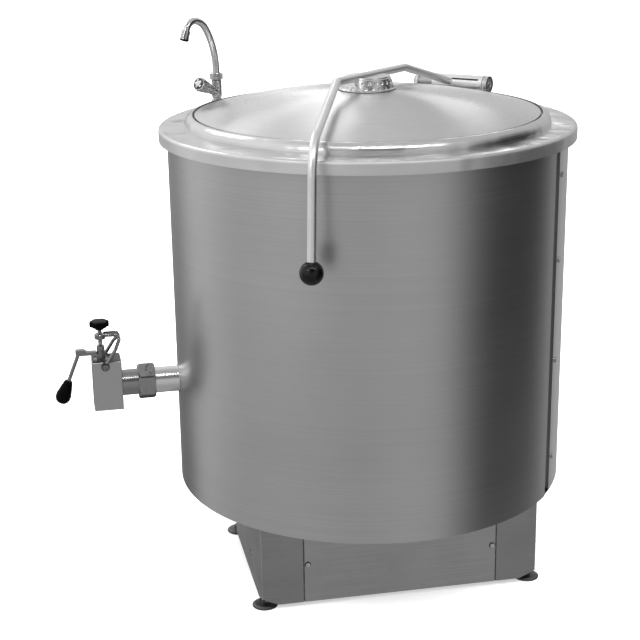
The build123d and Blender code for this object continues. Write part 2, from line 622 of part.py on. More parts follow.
def yoke():
    """Two bent rods from the eye down to a boss on each side of the block."""
    px, pz = PIVOT
    whole = None
    for side in (-1, 1):
        boss = tube((px, side * (STRAP_Y - 3.8), pz), (px, side * (STRAP_Y + 3.4), pz), 8.2, PIN_R + 1.06)
        strap = bent_rod([(px + 3, side * STRAP_Y, pz + 6), (px + 21, side * STRAP_Y, pz + 33.3),
                          (px + 30.5, side * 12, pz + 48), (px + 26.5, side * 8.5, pz + 56.3),
                          (px + 1, side * 6.5, pz + 56.3)], [8, 7, 5], 3.6)
        strap -= rod((px, side * (STRAP_Y - 4.2), pz), (px, side * (STRAP_Y + 5), pz), PIN_R + 1.06)
        piece = boss + strap
        whole = piece if whole is None else whole + piece
    low, top = EYE_Z
    eye = turned([(0, low), (10, low), (10.8, low + 1), (10.8, top - 1), (10, top), (0, top)], PLUG_X, 0)
    return whole + eye - rod((PLUG_X, 0, low - 10), (PLUG_X, 0, top + 10), SCREW_R + 0.06)


def yoke_pins():
    parts = []
    x, z = PIVOT
    for side in (-1, 1):
        p = rod((x, side * (BLOCK_Y - 7.5), z), (x, side * (BLOCK_Y + 0.2), z), PIN_R)
        p += rod((x, side * (BLOCK_Y + 0.2), z), (x, side * (STRAP_Y + 3.8), z), PIN_R + 1)
        parts.append(p + rod((x, side * (STRAP_Y + 3.8), z), (x, side * (STRAP_Y + 6.3), z), PIN_R * 2))
    return parts


def clamp_screw():
    low, neck, top = SHANK_TOP + FIT, KNOB_Z, KNOB_Z + 10
    return turned([(0, low), (2.5, low), (SCREW_R, low + 1.5), (SCREW_R, neck), (PIN_R, neck), (PIN_R, top),
                   (0, top)], PLUG_X, 0)


def clamp_knob():
    z = KNOB_Z + 0.2
    k = turned([(0, z), (8.0, z), (8.6, z + 4.6), (13, z + 5.4), (18.5, z + 6.2), (19.0, z + 9),
                (19.0, z + 14.6), (17.5, z + 16.8), (10, z + 17.7), (0, z + 17.9)], PLUG_X, 0)
    for i in range(6):
        a = math.radians(60 * i + 30)
        x, y = PLUG_X + 23.2 * math.cos(a), 23.2 * math.sin(a)
        k -= rod((x, y, z + 5), (x, y, z + 22), 8.0)
    return k - rod((PLUG_X, 0, z - 5), (PLUG_X, 0, z + 10.2), PIN_R + 0.06)


# Water tap

def tap_point(h, z):
    """Point h from the tap's axis in the parked direction and z above the rim."""
    return (TAP[0] + TAP_DIR[0] * h, TAP[1] + TAP_DIR[1] * h, RIM_TOP + z)


def knob_point(d):
    a = math.radians(KNOB_TILT)
    return tap_point(d * math.cos(a), KNOB_RISE + d * math.sin(a))


def tap_body():
    b = turned([(0, FIT), (14.0, FIT), (14.0, 2.5), (12.2, 7), (10.8, 13), (9.2, 14.5), (9.2, 17),
                (10.4, 18.5), (10.4, 52), (8.6, 53.5), (8.6, 63), (0, 63)], *TAP)
    b = Pos(0, 0, RIM_TOP) * b
    b += rod(tap_point(0, 1), tap_point(0, -20), 10.4)
    b += rod(knob_point(0), knob_point(20), 8.8)
    b += rod(knob_point(18), knob_point(26), 7.6)
    b -= rod(tap_point(0, -29), tap_point(0, 11), 6.3)
    b -= rod(tap_point(0, 1), tap_point(0, 66), 5.0)
    return b - rod(knob_point(8), knob_point(36), PIN_R + 0.06)


def tap_spindle():
    return rod(knob_point(9), knob_point(50), PIN_R)


def tap_knob():
    """Short fluted handle that widens to its end."""
    k = taper(knob_point(26.4), knob_point(58), 10.0, 15.0)
    k += taper(knob_point(58), knob_point(62), 15.0, 13.2)
    frame = Plane(origin=knob_point(0), z_dir=Vector(*knob_point(1)) - Vector(*knob_point(0)))
    for i in range(8):
        a = math.radians(45 * i + 22.5)
        x, y = 18.6 * math.cos(a), 18.6 * math.sin(a)
        k -= rod(frame.from_local_coords((x, y, 32)), frame.from_local_coords((x, y, 70)), 5.4)
    k -= rod(knob_point(20), knob_point(28), 7.9)
    return k - rod(knob_point(20), knob_point(50.4), PIN_R + 0.06)


def tap_nut():
    n = hexagon(tap_point(0, -12), tap_point(0, -3.5), 27)
    return n - rod(tap_point(0, -19), tap_point(0, 1), 10.46)


def spout_nut():
    n = hexagon(tap_point(0, 53.9), tap_point(0, 65.5), 23.5)
    n += taper(tap_point(0, 65.5), tap_point(0, 67.5), 10.6, 8.9)
    n -= rod(tap_point(0, 51), tap_point(0, 64.5), 8.66)
    return n - rod(tap_point(0, 51), tap_point(0, 71), SPOUT_R + 0.06)


def tap_spout():
    return bent_rod([tap_point(h, z) for h, z in SPOUT], SPOUT_BENDS, SPOUT_R, SPOUT_R - 1.3)


def spout_end(d):
    """Point on the spout's last leg, d beyond its end."""
    (h1, z1), (h2, z2) = SPOUT[-2:]
    k = d / math.hypot(h2 - h1, z2 - z1)
    return tap_point(h2 + (h2 - h1) * k, z2 + (z2 - z1) * k)


def aerator():
    body = rod(spout_end(-4.5), spout_end(11), SPOUT_R + 1.7)
    body += rod(spout_end(11), spout_end(13.5), SPOUT_R + 2.3)
    body -= rod(spout_end(-8), spout_end(FIT), SPOUT_R + 0.06)
    return body - rod(spout_end(-2), spout_end(18), 5.4)


def tap_feed_pipe():
    x, y, z = FEED
    end = PIPE_END
    pipe = bent_rod([tap_point(0, 5), (TAP[0], TAP[1], 240), (x, y, 232), (x, y, z), (x, end - 15, z)],
                    [40, 25, 28], FEED_PIPE_R, FEED_PIPE_R - 1.2)
    pipe += tube((x, end - 24, z), (x, end - 15, z), 13.5, 5.0)
    return pipe + tube((x, end - 15, z), (x, end, z), 13.5, 9.3)


# Lid

def lid_shell():
    outer = dome_points(0, LID_R, 0, 16)
    inner = dome_points(0, LID_R - LID_SHEET, LID_SHEET, 16)
    low = LID_SKIRT_LOW
    pts = outer + [(LID_R, low), (LID_R - 8, low), (LID_R - 8, low + LID_SHEET),
                   (LID_R - LID_SHEET, low + LID_SHEET)]
    pts += list(reversed(inner))
    shell = turned(pts)
    for x, y in HUB_SCREWS:
        shell -= rod((x, y, LID_APEX - 21), (x, y, LID_APEX + 3), 3.3)
    return shell - rod((0, 0, LID_APEX - 21), (0, 0, LID_APEX + 3), 4.3)


def lid_gasket():
    inner, low = VESSEL_R + 1, SEAT_TOP + FIT
    return turned([(inner, low), (LID_R - 0.5, low), (LID_R, low + 1.5), (LID_R - 0.5, low + 4.2),
                   (inner + 1, low + 4.2), (inner, low + 2.5)])


def lid_hub():
    """Cast boss on the lid, with two rows of scallops round its side and a groove for the arm."""
    r, zc = lid_sphere()
    low, top = LID_APEX - 11.5, HUB_TOP
    h = turned([(0, low), (HUB_R, low), (HUB_R, top - 23), (HUB_R - 1.5, top - 21.5),
                (HUB_TOP_R + 1.5, top - 3.5), (HUB_TOP_R, top - 2.3), (HUB_TOP_R - 1, top), (0, top)])
    h -= sphere_zone(r + FIT, zc)
    for i in range(24):
        a = math.radians(15 * i)
        h -= Pos(56.5 * math.cos(a), 56.5 * math.sin(a), top - 18) * Sphere(6.2)
        a = math.radians(15 * i + 7.5)
        h -= Pos(51.8 * math.cos(a), 51.8 * math.sin(a), top - 8.7) * Sphere(5.2)
    for lift in (0, 8):
        p, q = (Vector(*arm_line(s)) + Vector(0, 0, lift) for s in (75, -75))
        h -= rod(p, q, ARM_R + FIT)
    for x, y in HUB_SCREWS:
        h -= rod((x, y, low), (x, y, top - 13.5), 2.56)
    return h - rod((0, 0, low), (0, 0, top + 4), 4.3)


def arm_line(s):
    """Point on the straight part of the arm above the lid."""
    share = (ARM_AT[0] - s) / (ARM_AT[0] - ARM_AT[1])
    return hinge_point(s, 0, ARM_RISE[0] + share * (ARM_RISE[1] - ARM_RISE[0]))


def backing_plate():
    r, zc = lid_sphere()
    p = rod((0, 0, PLATE_LOW), (0, 0, PLATE_LOW + 12), HUB_R - 8)
    p &= sphere_zone(r - LID_SHEET - FIT, zc)
    for x, y in HUB_SCREWS:
        p -= rod((x, y, PLATE_LOW - 5), (x, y, PLATE_LOW + 10), 3.3)
    return p - rod((0, 0, PLATE_LOW - 5), (0, 0, PLATE_LOW + 10), 4.5)


def hub_bolts():
    parts = []
    head = PLATE_LOW - FIT
    for x, y in HUB_SCREWS:
        screw = rod((x, y, head), (x, y, HUB_TOP - 16.5), 2.5)
        parts.append(screw + hexagon((x, y, head - 4), (x, y, head), 10))
    middle = rod((0, 0, head), (0, 0, HUB_TOP - 3.5), 3.9)
    parts.append(middle + hexagon((0, 0, head - 5.3), (0, 0, head), 13))
    return parts


def lid_arm():
    """Bent rod from the hinge barrel over the hub to the front; a slot in the barrel shows the spring."""
    bend, ball = Vector(*ARM_BEND), Vector(*BALL)
    pts = [hinge_point(HINGE_S - 6, 0, HINGE_Z + 2), arm_line(ARM_AT[0]), arm_line(ARM_AT[1]), ARM_BEND,
           tuple(ball - (ball - bend).normalized() * 8)]
    arm = bent_rod(pts, [30, 24, 70], ARM_R)
    t1, t2 = BARREL_T
    arm += rod(hinge_point(HINGE_S, t1, HINGE_Z), hinge_point(HINGE_S, t2, HINGE_Z), BARREL_R)
    arm -= rod(hinge_point(HINGE_S, t1 - 5, HINGE_Z), hinge_point(HINGE_S, t2 + 4.3, HINGE_Z), BARREL_R - 4)
    arm -= rod((0, 0, LID_APEX - 11.5), (0, 0, HUB_TOP - 2.5), 3.96)
    a = math.radians(35)
    d = Vector(-E[0] * math.cos(a), -E[1] * math.cos(a), math.sin(a))
    frame = Plane(origin=hinge_point(HINGE_S, 37, HINGE_Z), x_dir=(T[0], T[1], 0), z_dir=d)
    arm -= frame * Pos(0, 0, 15) * Box(58, 3.8, 30)
    for t in (8, 66):
        c = Vector(*hinge_point(HINGE_S, t, HINGE_Z))
        arm -= rod(c, c + d * 30, 1.9)
    return arm


def arm_ball():
    ball = Vector(*BALL)
    down = (ball - Vector(*ARM_BEND)).normalized()
    b = Pos(*BALL) * Sphere(BALL_R)
    b -= rod(ball - down * 19.4, ball - down * 30, BALL_R + 4)
    return b - rod(ball - down * 7.6, ball - down * 30, ARM_R + 0.06)


def hinge_shaft():
    head, end = BRACKET_T[0] - FIT, BRACKET_T[1] + 0.1
    s = rod(hinge_point(HINGE_S, head, HINGE_Z), hinge_point(HINGE_S, end, HINGE_Z), SHAFT_R)
    return s + rod(hinge_point(HINGE_S, head - 3.7, HINGE_Z), hinge_point(HINGE_S, head, HINGE_Z), SHAFT_R + 1.7)


def hinge_bushes():
    parts = []
    for a, b in ((BARREL_T[0], BARREL_T[0] + BUSH_LONG), (BARREL_T[1] - BUSH_LONG, BARREL_T[1])):
        p, q = hinge_point(HINGE_S, a, HINGE_Z), hinge_point(HINGE_S, b, HINGE_Z)
        parts.append(tube(p, q, BARREL_R - 4.05, SHAFT_R + 0.05))
    return parts


def hinge_bracket():
    first, last = BRACKET_T
    b = hinge_block(HINGE_S - 19.5, HINGE_S + 15, first, last, RIM_TOP + FIT, RIM_TOP + FIT + 4)
    for t1, t2, r in ((first, first + 5, 10.0), (last - 4.5, last, 16.0)):
        ear = hinge_block(HINGE_S - r, HINGE_S + r, t1, t2, RIM_TOP + FIT, HINGE_Z)
        ear += rod(hinge_point(HINGE_S, t1, HINGE_Z), hinge_point(HINGE_S, t2, HINGE_Z), r)
        b += ear
    p, q = hinge_point(HINGE_S, first - 7, HINGE_Z), hinge_point(HINGE_S, last + 9.2, HINGE_Z)
    b -= rod(p, q, SHAFT_R + 0.06)
    for s, t in HINGE_BOLTS:
        b -= rod(hinge_point(s, t, RIM_TOP - 9), hinge_point(s, t, RIM_TOP + 11), 3.3)
    return b


def hinge_bolts():
    parts = []
    for s, t in HINGE_BOLTS:
        z = RIM_TOP + 4.6
        bolt = rod(hinge_point(s, t, RIM_TOP - 17), hinge_point(s, t, z), 3.0)
        bolt += hexagon(hinge_point(s, t, z), hinge_point(s, t, z + 3.6), 10)
        bolt += hexagon(hinge_point(s, t, RIM_TOP - 8.6), hinge_point(s, t, RIM_TOP - 3.3), 10)
        parts.append(bolt)
    return parts


def hinge_cap():
    near, far = BRACKET_T[1] + FIT, BRACKET_T[1] + 6.2
    c = rod(hinge_point(HINGE_S, near, HINGE_Z), hinge_point(HINGE_S, far, HINGE_Z), BARREL_R)
    d = (T[0], T[1], 0)
    frame = Plane(origin=hinge_point(HINGE_S, far, HINGE_Z), x_dir=(0, 0, 1), z_dir=d)
    for i in range(6):
        c -= frame * Rot(0, 0, 60 * i) * Pos(10.5, 0, 0) * Box(9, 2.4, 3)
    return c


def torsion_spring():
    """Coil that carries most of the weight of the lid."""
    wire_r, coil_r = 1.5, 11.0
    gap = BUSH_LONG + FIT + wire_r
    first, last = BARREL_T[0] + gap, BARREL_T[1] - gap
    frame = Plane(origin=hinge_point(HINGE_S, first, HINGE_Z), x_dir=(0, 0, 1), z_dir=(T[0], T[1], 0))
    path = Helix(pitch=(last - first) / 10, height=last - first, radius=coil_r)
    section = Plane(origin=path @ 0, z_dir=path % 0) * Circle(wire_r)
    return frame * sweep(make_face(section), path=path, is_frenet=True)


def parts_list():
    yield "outer_casing", outer_casing()
    yield "service_panel", service_panel()
    yield "service_panel_screws", service_panel_screws()
    yield "panel_rails", panel_rails()
    yield "casing_floor", casing_floor()
    yield "rim_ring", rim_ring()
    yield "vessel_shell", vessel_shell()
    yield "vessel_bottom", vessel_bottom()
    yield "steam_jacket", steam_jacket()
    yield "insulation", insulation()
    yield "vessel_supports", vessel_supports()
    yield "outlet_pipe", outlet_pipe()
    yield "outlet_strainer", outlet_strainer()
    yield "steam_inlet_pipe", steam_inlet_pipe()
    yield "condensate_pipe", condensate_pipe()
    yield "safety_valve", safety_valve()
    yield "plinth_legs", plinth_legs()
    yield "front_panel", front_panel()
    yield "panel_screws", panel_screws()
    yield "plinth_frame", plinth_frame()
    for name, y in (("front", FOOT_FRONT), ("rear", FOOT_REAR)):
        yield "foot_" + name + "_left", foot(-1, y)
        yield "foot_" + name + "_right", foot(1, y)
    yield "union_nut", union_nut()
    yield "union_seal", union_seal()
    yield "tail_pipe", tail_pipe()
    yield "valve_body", valve_body()
    yield "valve_plug", valve_plug()
    yield "plug_lever", plug_lever()
    yield "lever_grip", lever_grip()
    yield "yoke", yoke()
    yield "yoke_pins", yoke_pins()
    yield "clamp_screw", clamp_screw()
    yield "clamp_knob", clamp_knob()
    yield "tap_body", tap_body()
    yield "tap_spindle", tap_spindle()
    yield "tap_knob", tap_knob()
    yield "tap_nut", tap_nut()
    yield "spout_nut", spout_nut()
    yield "tap_spout", tap_spout()
    yield "aerator", aerator()
    yield "tap_feed_pipe", tap_feed_pipe()
    yield "lid_shell", lid_shell()
    yield "lid_gasket", lid_gasket()
    yield "lid_hub", lid_hub()
    yield "backing_plate", backing_plate()
    yield "hub_bolts", hub_bolts()
    yield "lid_arm", lid_arm()
    yield "arm_ball", arm_ball()
    yield "hinge_shaft", hinge_shaft()
    yield "hinge_bushes", hinge_bushes()
    yield "hinge_bracket", hinge_bracket()
    yield "hinge_bolts", hinge_bolts()
    yield "hinge_cap", hinge_cap()
    yield "torsion_spring", torsion_spring()


os.makedirs("parts", exist_ok=True)
for name, shape in parts_list():
    solids = []
    for s in shape if isinstance(shape, list) else [shape]:
        solids += list(s.solids())
    solids = [Pos(0, AXIS_Y, 0) * s for s in solids]
    out = solids[0] if len(solids) == 1 else Compound(children=solids)
    out.label = name
    export_step(out, "parts/" + name + ".step")
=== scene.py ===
"""Looks of the steam cooking kettle: finishes, small details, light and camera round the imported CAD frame."""

import math

import bmesh
import bpy
from mathutils import Matrix, Vector


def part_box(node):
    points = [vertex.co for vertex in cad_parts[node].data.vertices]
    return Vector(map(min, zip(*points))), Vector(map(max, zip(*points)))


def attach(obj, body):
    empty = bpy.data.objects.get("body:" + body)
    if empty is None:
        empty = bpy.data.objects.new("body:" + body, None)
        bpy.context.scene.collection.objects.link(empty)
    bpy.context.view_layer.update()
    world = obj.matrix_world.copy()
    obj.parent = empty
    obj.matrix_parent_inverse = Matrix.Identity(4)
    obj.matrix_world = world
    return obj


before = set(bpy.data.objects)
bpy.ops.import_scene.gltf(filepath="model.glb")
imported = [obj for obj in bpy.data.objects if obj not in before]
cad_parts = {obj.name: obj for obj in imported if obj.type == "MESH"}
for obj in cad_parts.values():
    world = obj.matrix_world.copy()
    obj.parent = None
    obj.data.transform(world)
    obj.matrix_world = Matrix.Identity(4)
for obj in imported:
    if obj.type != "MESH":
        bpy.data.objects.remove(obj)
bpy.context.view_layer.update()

AXIS = Vector((0.0, 0.078, 0.0))  # the kettle's upright axis in the part's frame, metres


# Node materials

NOISE_LOW, NOISE_HIGH = 0.3, 0.7  # what noise values mostly lie between
ASKEW = 0.7  # share of y in the slow coordinate of marks that run round the axis
QUARTER_TURN = 0.25
SKIN_EDGE = 0.001  # metres over which a skin's finish changes
MARKS_SHARE, PATCHES_SHARE = 0.6, 0.4  # of marks and slow patches in a tone
DARK_WARMTH, LIGHT_WARMTH = 0.004, -0.002
PATCH_HEIGHT, PATCH_STRENGTH = 0.0004, 0.25
SHEET_WAVES = (9.0, 9.0, 2.0)  # frequency of the unevenness of sheet
SHEET_DENTS, CAST_DENTS = 19.0, 85.0  # and of dents, in ringed sheet and in castings
WEAR = 35.0  # frequency of handling marks on plastic
WEAR_LOW, WEAR_HIGH, WEAR_GAIN = 0.45, 0.75, 1.9


class Finish:
    """A node material, wired with a few short calls."""

    def __init__(self, name, colour, metallic, roughness, **sockets):
        self.mat = bpy.data.materials.new(name)
        self.mat.use_nodes = True
        self.tree = self.mat.node_tree
        self.tree.nodes.clear()
        output = self.node("ShaderNodeOutputMaterial")
        self.bsdf = self.node("ShaderNodeBsdfPrincipled")
        self.link(self.bsdf.outputs["BSDF"], output.inputs["Surface"])
        self.set("Base Color", (*colour, 1.0))
        self.set("Metallic", metallic)
        self.set("Roughness", roughness)
        for socket, value in sockets.items():
            self.set(socket.replace("_", " "), value)
        self.object = self.node("ShaderNodeTexCoord").outputs["Object"]
        self.normal = None

    def node(self, kind, **settings):
        made = self.tree.nodes.new(kind)
        for key, value in settings.items():
            setattr(made, key, value)
        return made

    def link(self, a, b):
        self.tree.links.new(a, b)

    def set(self, socket, value):
        self.bsdf.inputs[socket].default_value = value

    def math(self, operation, a, b=None):
        made = self.node("ShaderNodeMath", operation=operation)
        for slot, value in enumerate((a, b)):
            if value is None:
                continue
            if isinstance(value, (int, float)):
                made.inputs[slot].default_value = value
            else:
                self.link(value, made.inputs[slot])
        return made.outputs["Value"]

    def scaled(self, scale):
        """Object coordinates, stretched by a factor on each axis, or by one on all three."""
        made = self.node("ShaderNodeMapping")
        made.inputs["Scale"].default_value = scale if isinstance(scale, tuple) else (scale,) * 3
        self.link(self.object, made.inputs["Vector"])
        return made.outputs["Vector"]

    def place(self):
        """Object coordinates as values, with y from the upright axis, and the distance from that axis."""
        split = self.node("ShaderNodeSeparateXYZ")
        self.link(self.object, split.inputs["Vector"])
        x, y, z = split.outputs
        y = self.math("SUBTRACT", y, AXIS.y)
        squares = self.math("ADD", self.math("MULTIPLY", x, x), self.math("MULTIPLY", y, y))
        return x, y, z, self.math("SQRT", squares)

    def ringed(self, along, across):
        """Coordinates for marks that run round the upright axis: slow along them, quick across them."""
        x, y, z, radius = self.place()
        joined = self.node("ShaderNodeCombineXYZ")
        slow = self.math("ADD", self.math("MULTIPLY", x, along), self.math("MULTIPLY", y, along * ASKEW))
        self.link(slow, joined.inputs["X"])
        self.link(self.math("MULTIPLY", radius, across), joined.inputs["Y"])
        self.link(self.math("MULTIPLY", z, across), joined.inputs["Z"])
        return joined.outputs["Vector"]

    def noise(self, vector, detail, roughness=0.5):
        """Noise with one cell to each unit of the vector."""
        made = self.node("ShaderNodeTexNoise")
        made.inputs["Scale"].default_value = 1.0
        made.inputs["Detail"].default_value = detail
        made.inputs["Roughness"].default_value = roughness
        self.link(vector, made.inputs["Vector"])
        return made.outputs["Fac"]

    def spread(self, value, low, high, start=NOISE_LOW, stop=NOISE_HIGH):
        """Maps a value between start and stop to a range."""
        made = self.node("ShaderNodeMapRange")
        for key, number in (("From Min", start), ("From Max", stop), ("To Min", low), ("To Max", high)):
            made.inputs[key].default_value = number
        self.link(value, made.inputs["Value"])
        return made.outputs["Result"]

    def tint(self, value, dark, light, start=NOISE_LOW, stop=NOISE_HIGH):
        """Base colour between two tones, by a noise value."""
        ramp = self.node("ShaderNodeValToRGB")
        ramp.color_ramp.elements[0].position = start
        ramp.color_ramp.elements[1].position = stop
        ramp.color_ramp.elements[0].color = (*dark, 1.0)
        ramp.color_ramp.elements[1].color = (*light, 1.0)
        self.link(value, ramp.inputs["Fac"])
        self.link(ramp.outputs["Color"], self.bsdf.inputs["Base Color"])

    def rough(self, value, low, high):
        """Roughness between two values, by a noise value."""
        self.link(self.spread(value, low, high), self.bsdf.inputs["Roughness"])

    def painted_light_and_roughness(self, distance, start, gain, rougher):
        """Painted light, a brighter skin, and more roughness where a distance is past start."""
        mask = self.spread(distance, 0.0, 1.0, start, start + SKIN_EDGE)
        colour, rough = (self.bsdf.inputs[name] for name in ("Base Color", "Roughness"))
        scaled = self.node("ShaderNodeVectorMath", operation="SCALE")
        self.link(colour.links[0].from_socket, scaled.inputs[0])
        self.link(self.math("ADD", self.math("MULTIPLY", mask, gain - 1.0), 1.0), scaled.inputs["Scale"])
        self.link(scaled.outputs["Vector"], colour)
        self.link(self.math("ADD", rough.links[0].from_socket, self.math("MULTIPLY", mask, rougher)), rough)

    def bump(self, value, distance, strength=1.0):
        """Relief of a height in metres, added to what is there."""
        made = self.node("ShaderNodeBump")
        made.inputs["Distance"].default_value = distance
        made.inputs["Strength"].default_value = strength
        self.link(value, made.inputs["Height"])
        if self.normal is not None:
            self.link(self.normal, made.inputs["Normal"])
        self.normal = made.outputs["Normal"]
        self.link(self.normal, self.bsdf.inputs["Normal"])

    def brushed(self, amount):
        """Stretches highlights across marks that run round the upright axis."""
        tangent = self.node("ShaderNodeTangent", direction_type="RADIAL", axis="Z")
        self.link(tangent.outputs["Tangent"], self.bsdf.inputs["Tangent"])
        self.set("Anisotropic", amount)
        self.set("Anisotropic Rotation", QUARTER_TURN)


def shade(grey, warm=0.0):
    """A neutral tone, a little warm or cold."""
    return (grey * (1 + warm), grey, grey * (1 - warm))


def steel(name, grey, low, high, grain, cloud=6.0, brush=0.0, depth=0.000012, mottle=0.06, ringed=False,
          wavy=0.0, dents=0.0, band=None, sides=None):
    """Brushed or satin stainless steel of one grey, with its roughness between low and high.

    grain is the marks' frequency on each axis, or (along, across) when ringed, and cloud that of slow
    patches. depth is the marks' height in metres, wavy that of a sheet's unevenness and dents that of small
    dents. brush stretches highlights and mottle varies the grey. band and sides are (start, gain, rougher)
    of the skin that lies past a radius or a half width; gain makes that skin brighter, painted light.
    """
    made = Finish(name, shade(grey), 1.0, low)
    lines = made.noise(made.ringed(*grain) if ringed else made.scaled(grain), detail=3.0, roughness=0.65)
    patches = made.noise(made.scaled(cloud), detail=5.0, roughness=0.6)
    marks = made.math("MULTIPLY", lines, MARKS_SHARE)
    blend = made.math("ADD", marks, made.math("MULTIPLY", patches, PATCHES_SHARE))
    made.tint(blend, shade(grey * (1 - mottle), DARK_WARMTH), shade(grey * (1 + mottle), LIGHT_WARMTH))
    made.rough(blend, low, high)
    made.bump(lines, depth)
    made.bump(patches, PATCH_HEIGHT, PATCH_STRENGTH)
    if wavy:
        made.bump(made.noise(made.scaled(SHEET_WAVES), detail=0.0), wavy)
    if dents:
        made.bump(made.noise(made.scaled(SHEET_DENTS if ringed else CAST_DENTS), detail=1.0), dents)
    if brush:
        made.brushed(brush)
    if band:
        made.painted_light_and_roughness(made.place()[3], *band)
    if sides:
        made.painted_light_and_roughness(made.math("ABSOLUTE", made.place()[0]), *sides)
    return made.mat


def plastic(name, grey, low, high, grain=900.0, depth=0.00002, level=0.5, coat=0.0):
    """Moulded plastic or rubber with a fine skin and handling marks. grey is one number, or a colour."""
    colour = grey if isinstance(grey, tuple) else (grey,) * 3
    made = Finish(name, colour, 0.0, low, Specular_IOR_Level=level, Coat_Weight=coat, Coat_Roughness=0.06)
    skin = made.noise(made.scaled(grain), detail=2.0)
    wear = made.noise(made.scaled(WEAR), detail=6.0, roughness=0.7)
    made.tint(wear, colour, tuple(c * WEAR_GAIN for c in colour), WEAR_LOW, WEAR_HIGH)
    made.rough(wear, low, high)
    made.bump(skin, depth)
    return made.mat


CASING = steel("satin_casing", 0.58, 0.30, 0.38, (2.0, 900.0), cloud=3.0, brush=0.35, ringed=True,
               mottle=0.10)
PANEL = steel("panel_steel", 0.55, 0.30, 0.38, (2.0, 900.0), cloud=3.0, brush=0.35, ringed=True)
# Past a radius of 398.5 mm the rim's outer band is 1.1 times brighter, painted light, and rougher.
RIM = steel("rim_steel", 0.72, 0.20, 0.28, (3.0, 1400.0), cloud=5.0, brush=0.55, ringed=True, wavy=0.005,
            dents=0.0036, band=(0.3985, 1.1, 0.26))
LID = steel("lid_steel", 0.74, 0.25, 0.33, (3.0, 1100.0), cloud=4.0, brush=0.93, ringed=True, wavy=0.0016)
INNER = steel("vessel_steel", 0.60, 0.24, 0.34, (3.0, 900.0), cloud=5.0, brush=0.5, ringed=True)
# The base's steel, 0.33 and on the front panel and frame 0.42, is painted darker than the casing's 0.58:
# painted shade under the body. Past a half width of 270.2 mm, on the side wings, it is 2.6 times brighter:
# painted light on the sides.
BASE = steel("base_steel", 0.33, 0.24, 0.34, (5.0, 5.0, 700.0), cloud=7.0, mottle=0.22,
             sides=(0.2702, 2.6, 0.06))
FRONT = steel("front_steel", 0.42, 0.24, 0.34, (5.0, 5.0, 700.0), cloud=7.0, mottle=0.22)
PIPE = steel("pipe_steel", 0.80, 0.18, 0.26, (10.0, 260.0, 260.0), cloud=12.0, depth=0.000003)
# The tail pipe is a darker copy of the pipe steel, 0.34 against 0.80: painted shade of the union nut and of the
# darker things it mirrors.
SHADED_TAIL = steel("tail_steel_shaded", 0.34, 0.22, 0.30, (10.0, 260.0, 260.0), cloud=16.0, depth=0.000003)
ROD = steel("arm_steel", 0.92, 0.32, 0.40, (900.0, 900.0, 30.0), cloud=14.0, mottle=0.12)
PLAIN = steel("mill_steel", 0.42, 0.36, 0.50, 40.0, cloud=9.0)
BOLT = steel("bolt_steel", 0.60, 0.20, 0.32, 120.0, cloud=40.0)
CHROME = steel("chrome", 0.78, 0.04, 0.09, 60.0, cloud=30.0, depth=0.000004)
TAP = steel("tap_chrome", 0.54, 0.05, 0.10, 60.0, cloud=30.0, depth=0.000004, dents=0.0022)
HUB = steel("hub_steel", 0.72, 0.20, 0.28, 60.0, cloud=30.0, depth=0.000008)
CAST = steel("valve_steel", 0.50, 0.28, 0.40, 220.0, cloud=24.0, depth=0.00003)
NUT = steel("nut_steel", 0.34, 0.10, 0.18, 160.0, cloud=30.0, depth=0.00001, mottle=0.15, dents=0.0010)
# The yoke, clamp screw and lever are a dark steel, 0.28: painted dark reflections on their polished rods.
YOKE = steel("yoke_steel", 0.28, 0.10, 0.18, 200.0, cloud=30.0, depth=0.000006)
PLUG = steel("plug_steel", 0.27, 0.24, 0.36, 420.0, cloud=60.0, depth=0.00005, mottle=0.55)
FOOT = steel("foot_steel", 0.17, 0.34, 0.50, 150.0, cloud=30.0, depth=0.00004)
DARK_STEEL = steel("dark_steel", 0.09, 0.30, 0.42, 150.0, cloud=30.0, depth=0.00002)
BRASS = steel("bush_brass", 0.60, 0.22, 0.34, 90.0, cloud=30.0)
SPRING = steel("spring_steel", 0.30, 0.28, 0.40, 80.0, cloud=30.0)
BLACK = plastic("glossy_black", 0.003, 0.08, 0.20, level=0.22, coat=0.12)
BALL = plastic("ball_black", 0.0012, 0.03, 0.07, depth=0.000002, level=0.34)
KNOB = plastic("knob_black", 0.0008, 0.28, 0.36, level=0.06)
DARK = plastic("black_plastic", 0.006, 0.30, 0.45, depth=0.00005, level=0.25)
RUBBER = plastic("seal_rubber", (0.035, 0.035, 0.036), 0.55, 0.7, grain=500.0, depth=0.00006)
WOOL = plastic("mineral_wool", (0.42, 0.36, 0.22), 0.9, 1.0, grain=260.0, depth=0.0016)

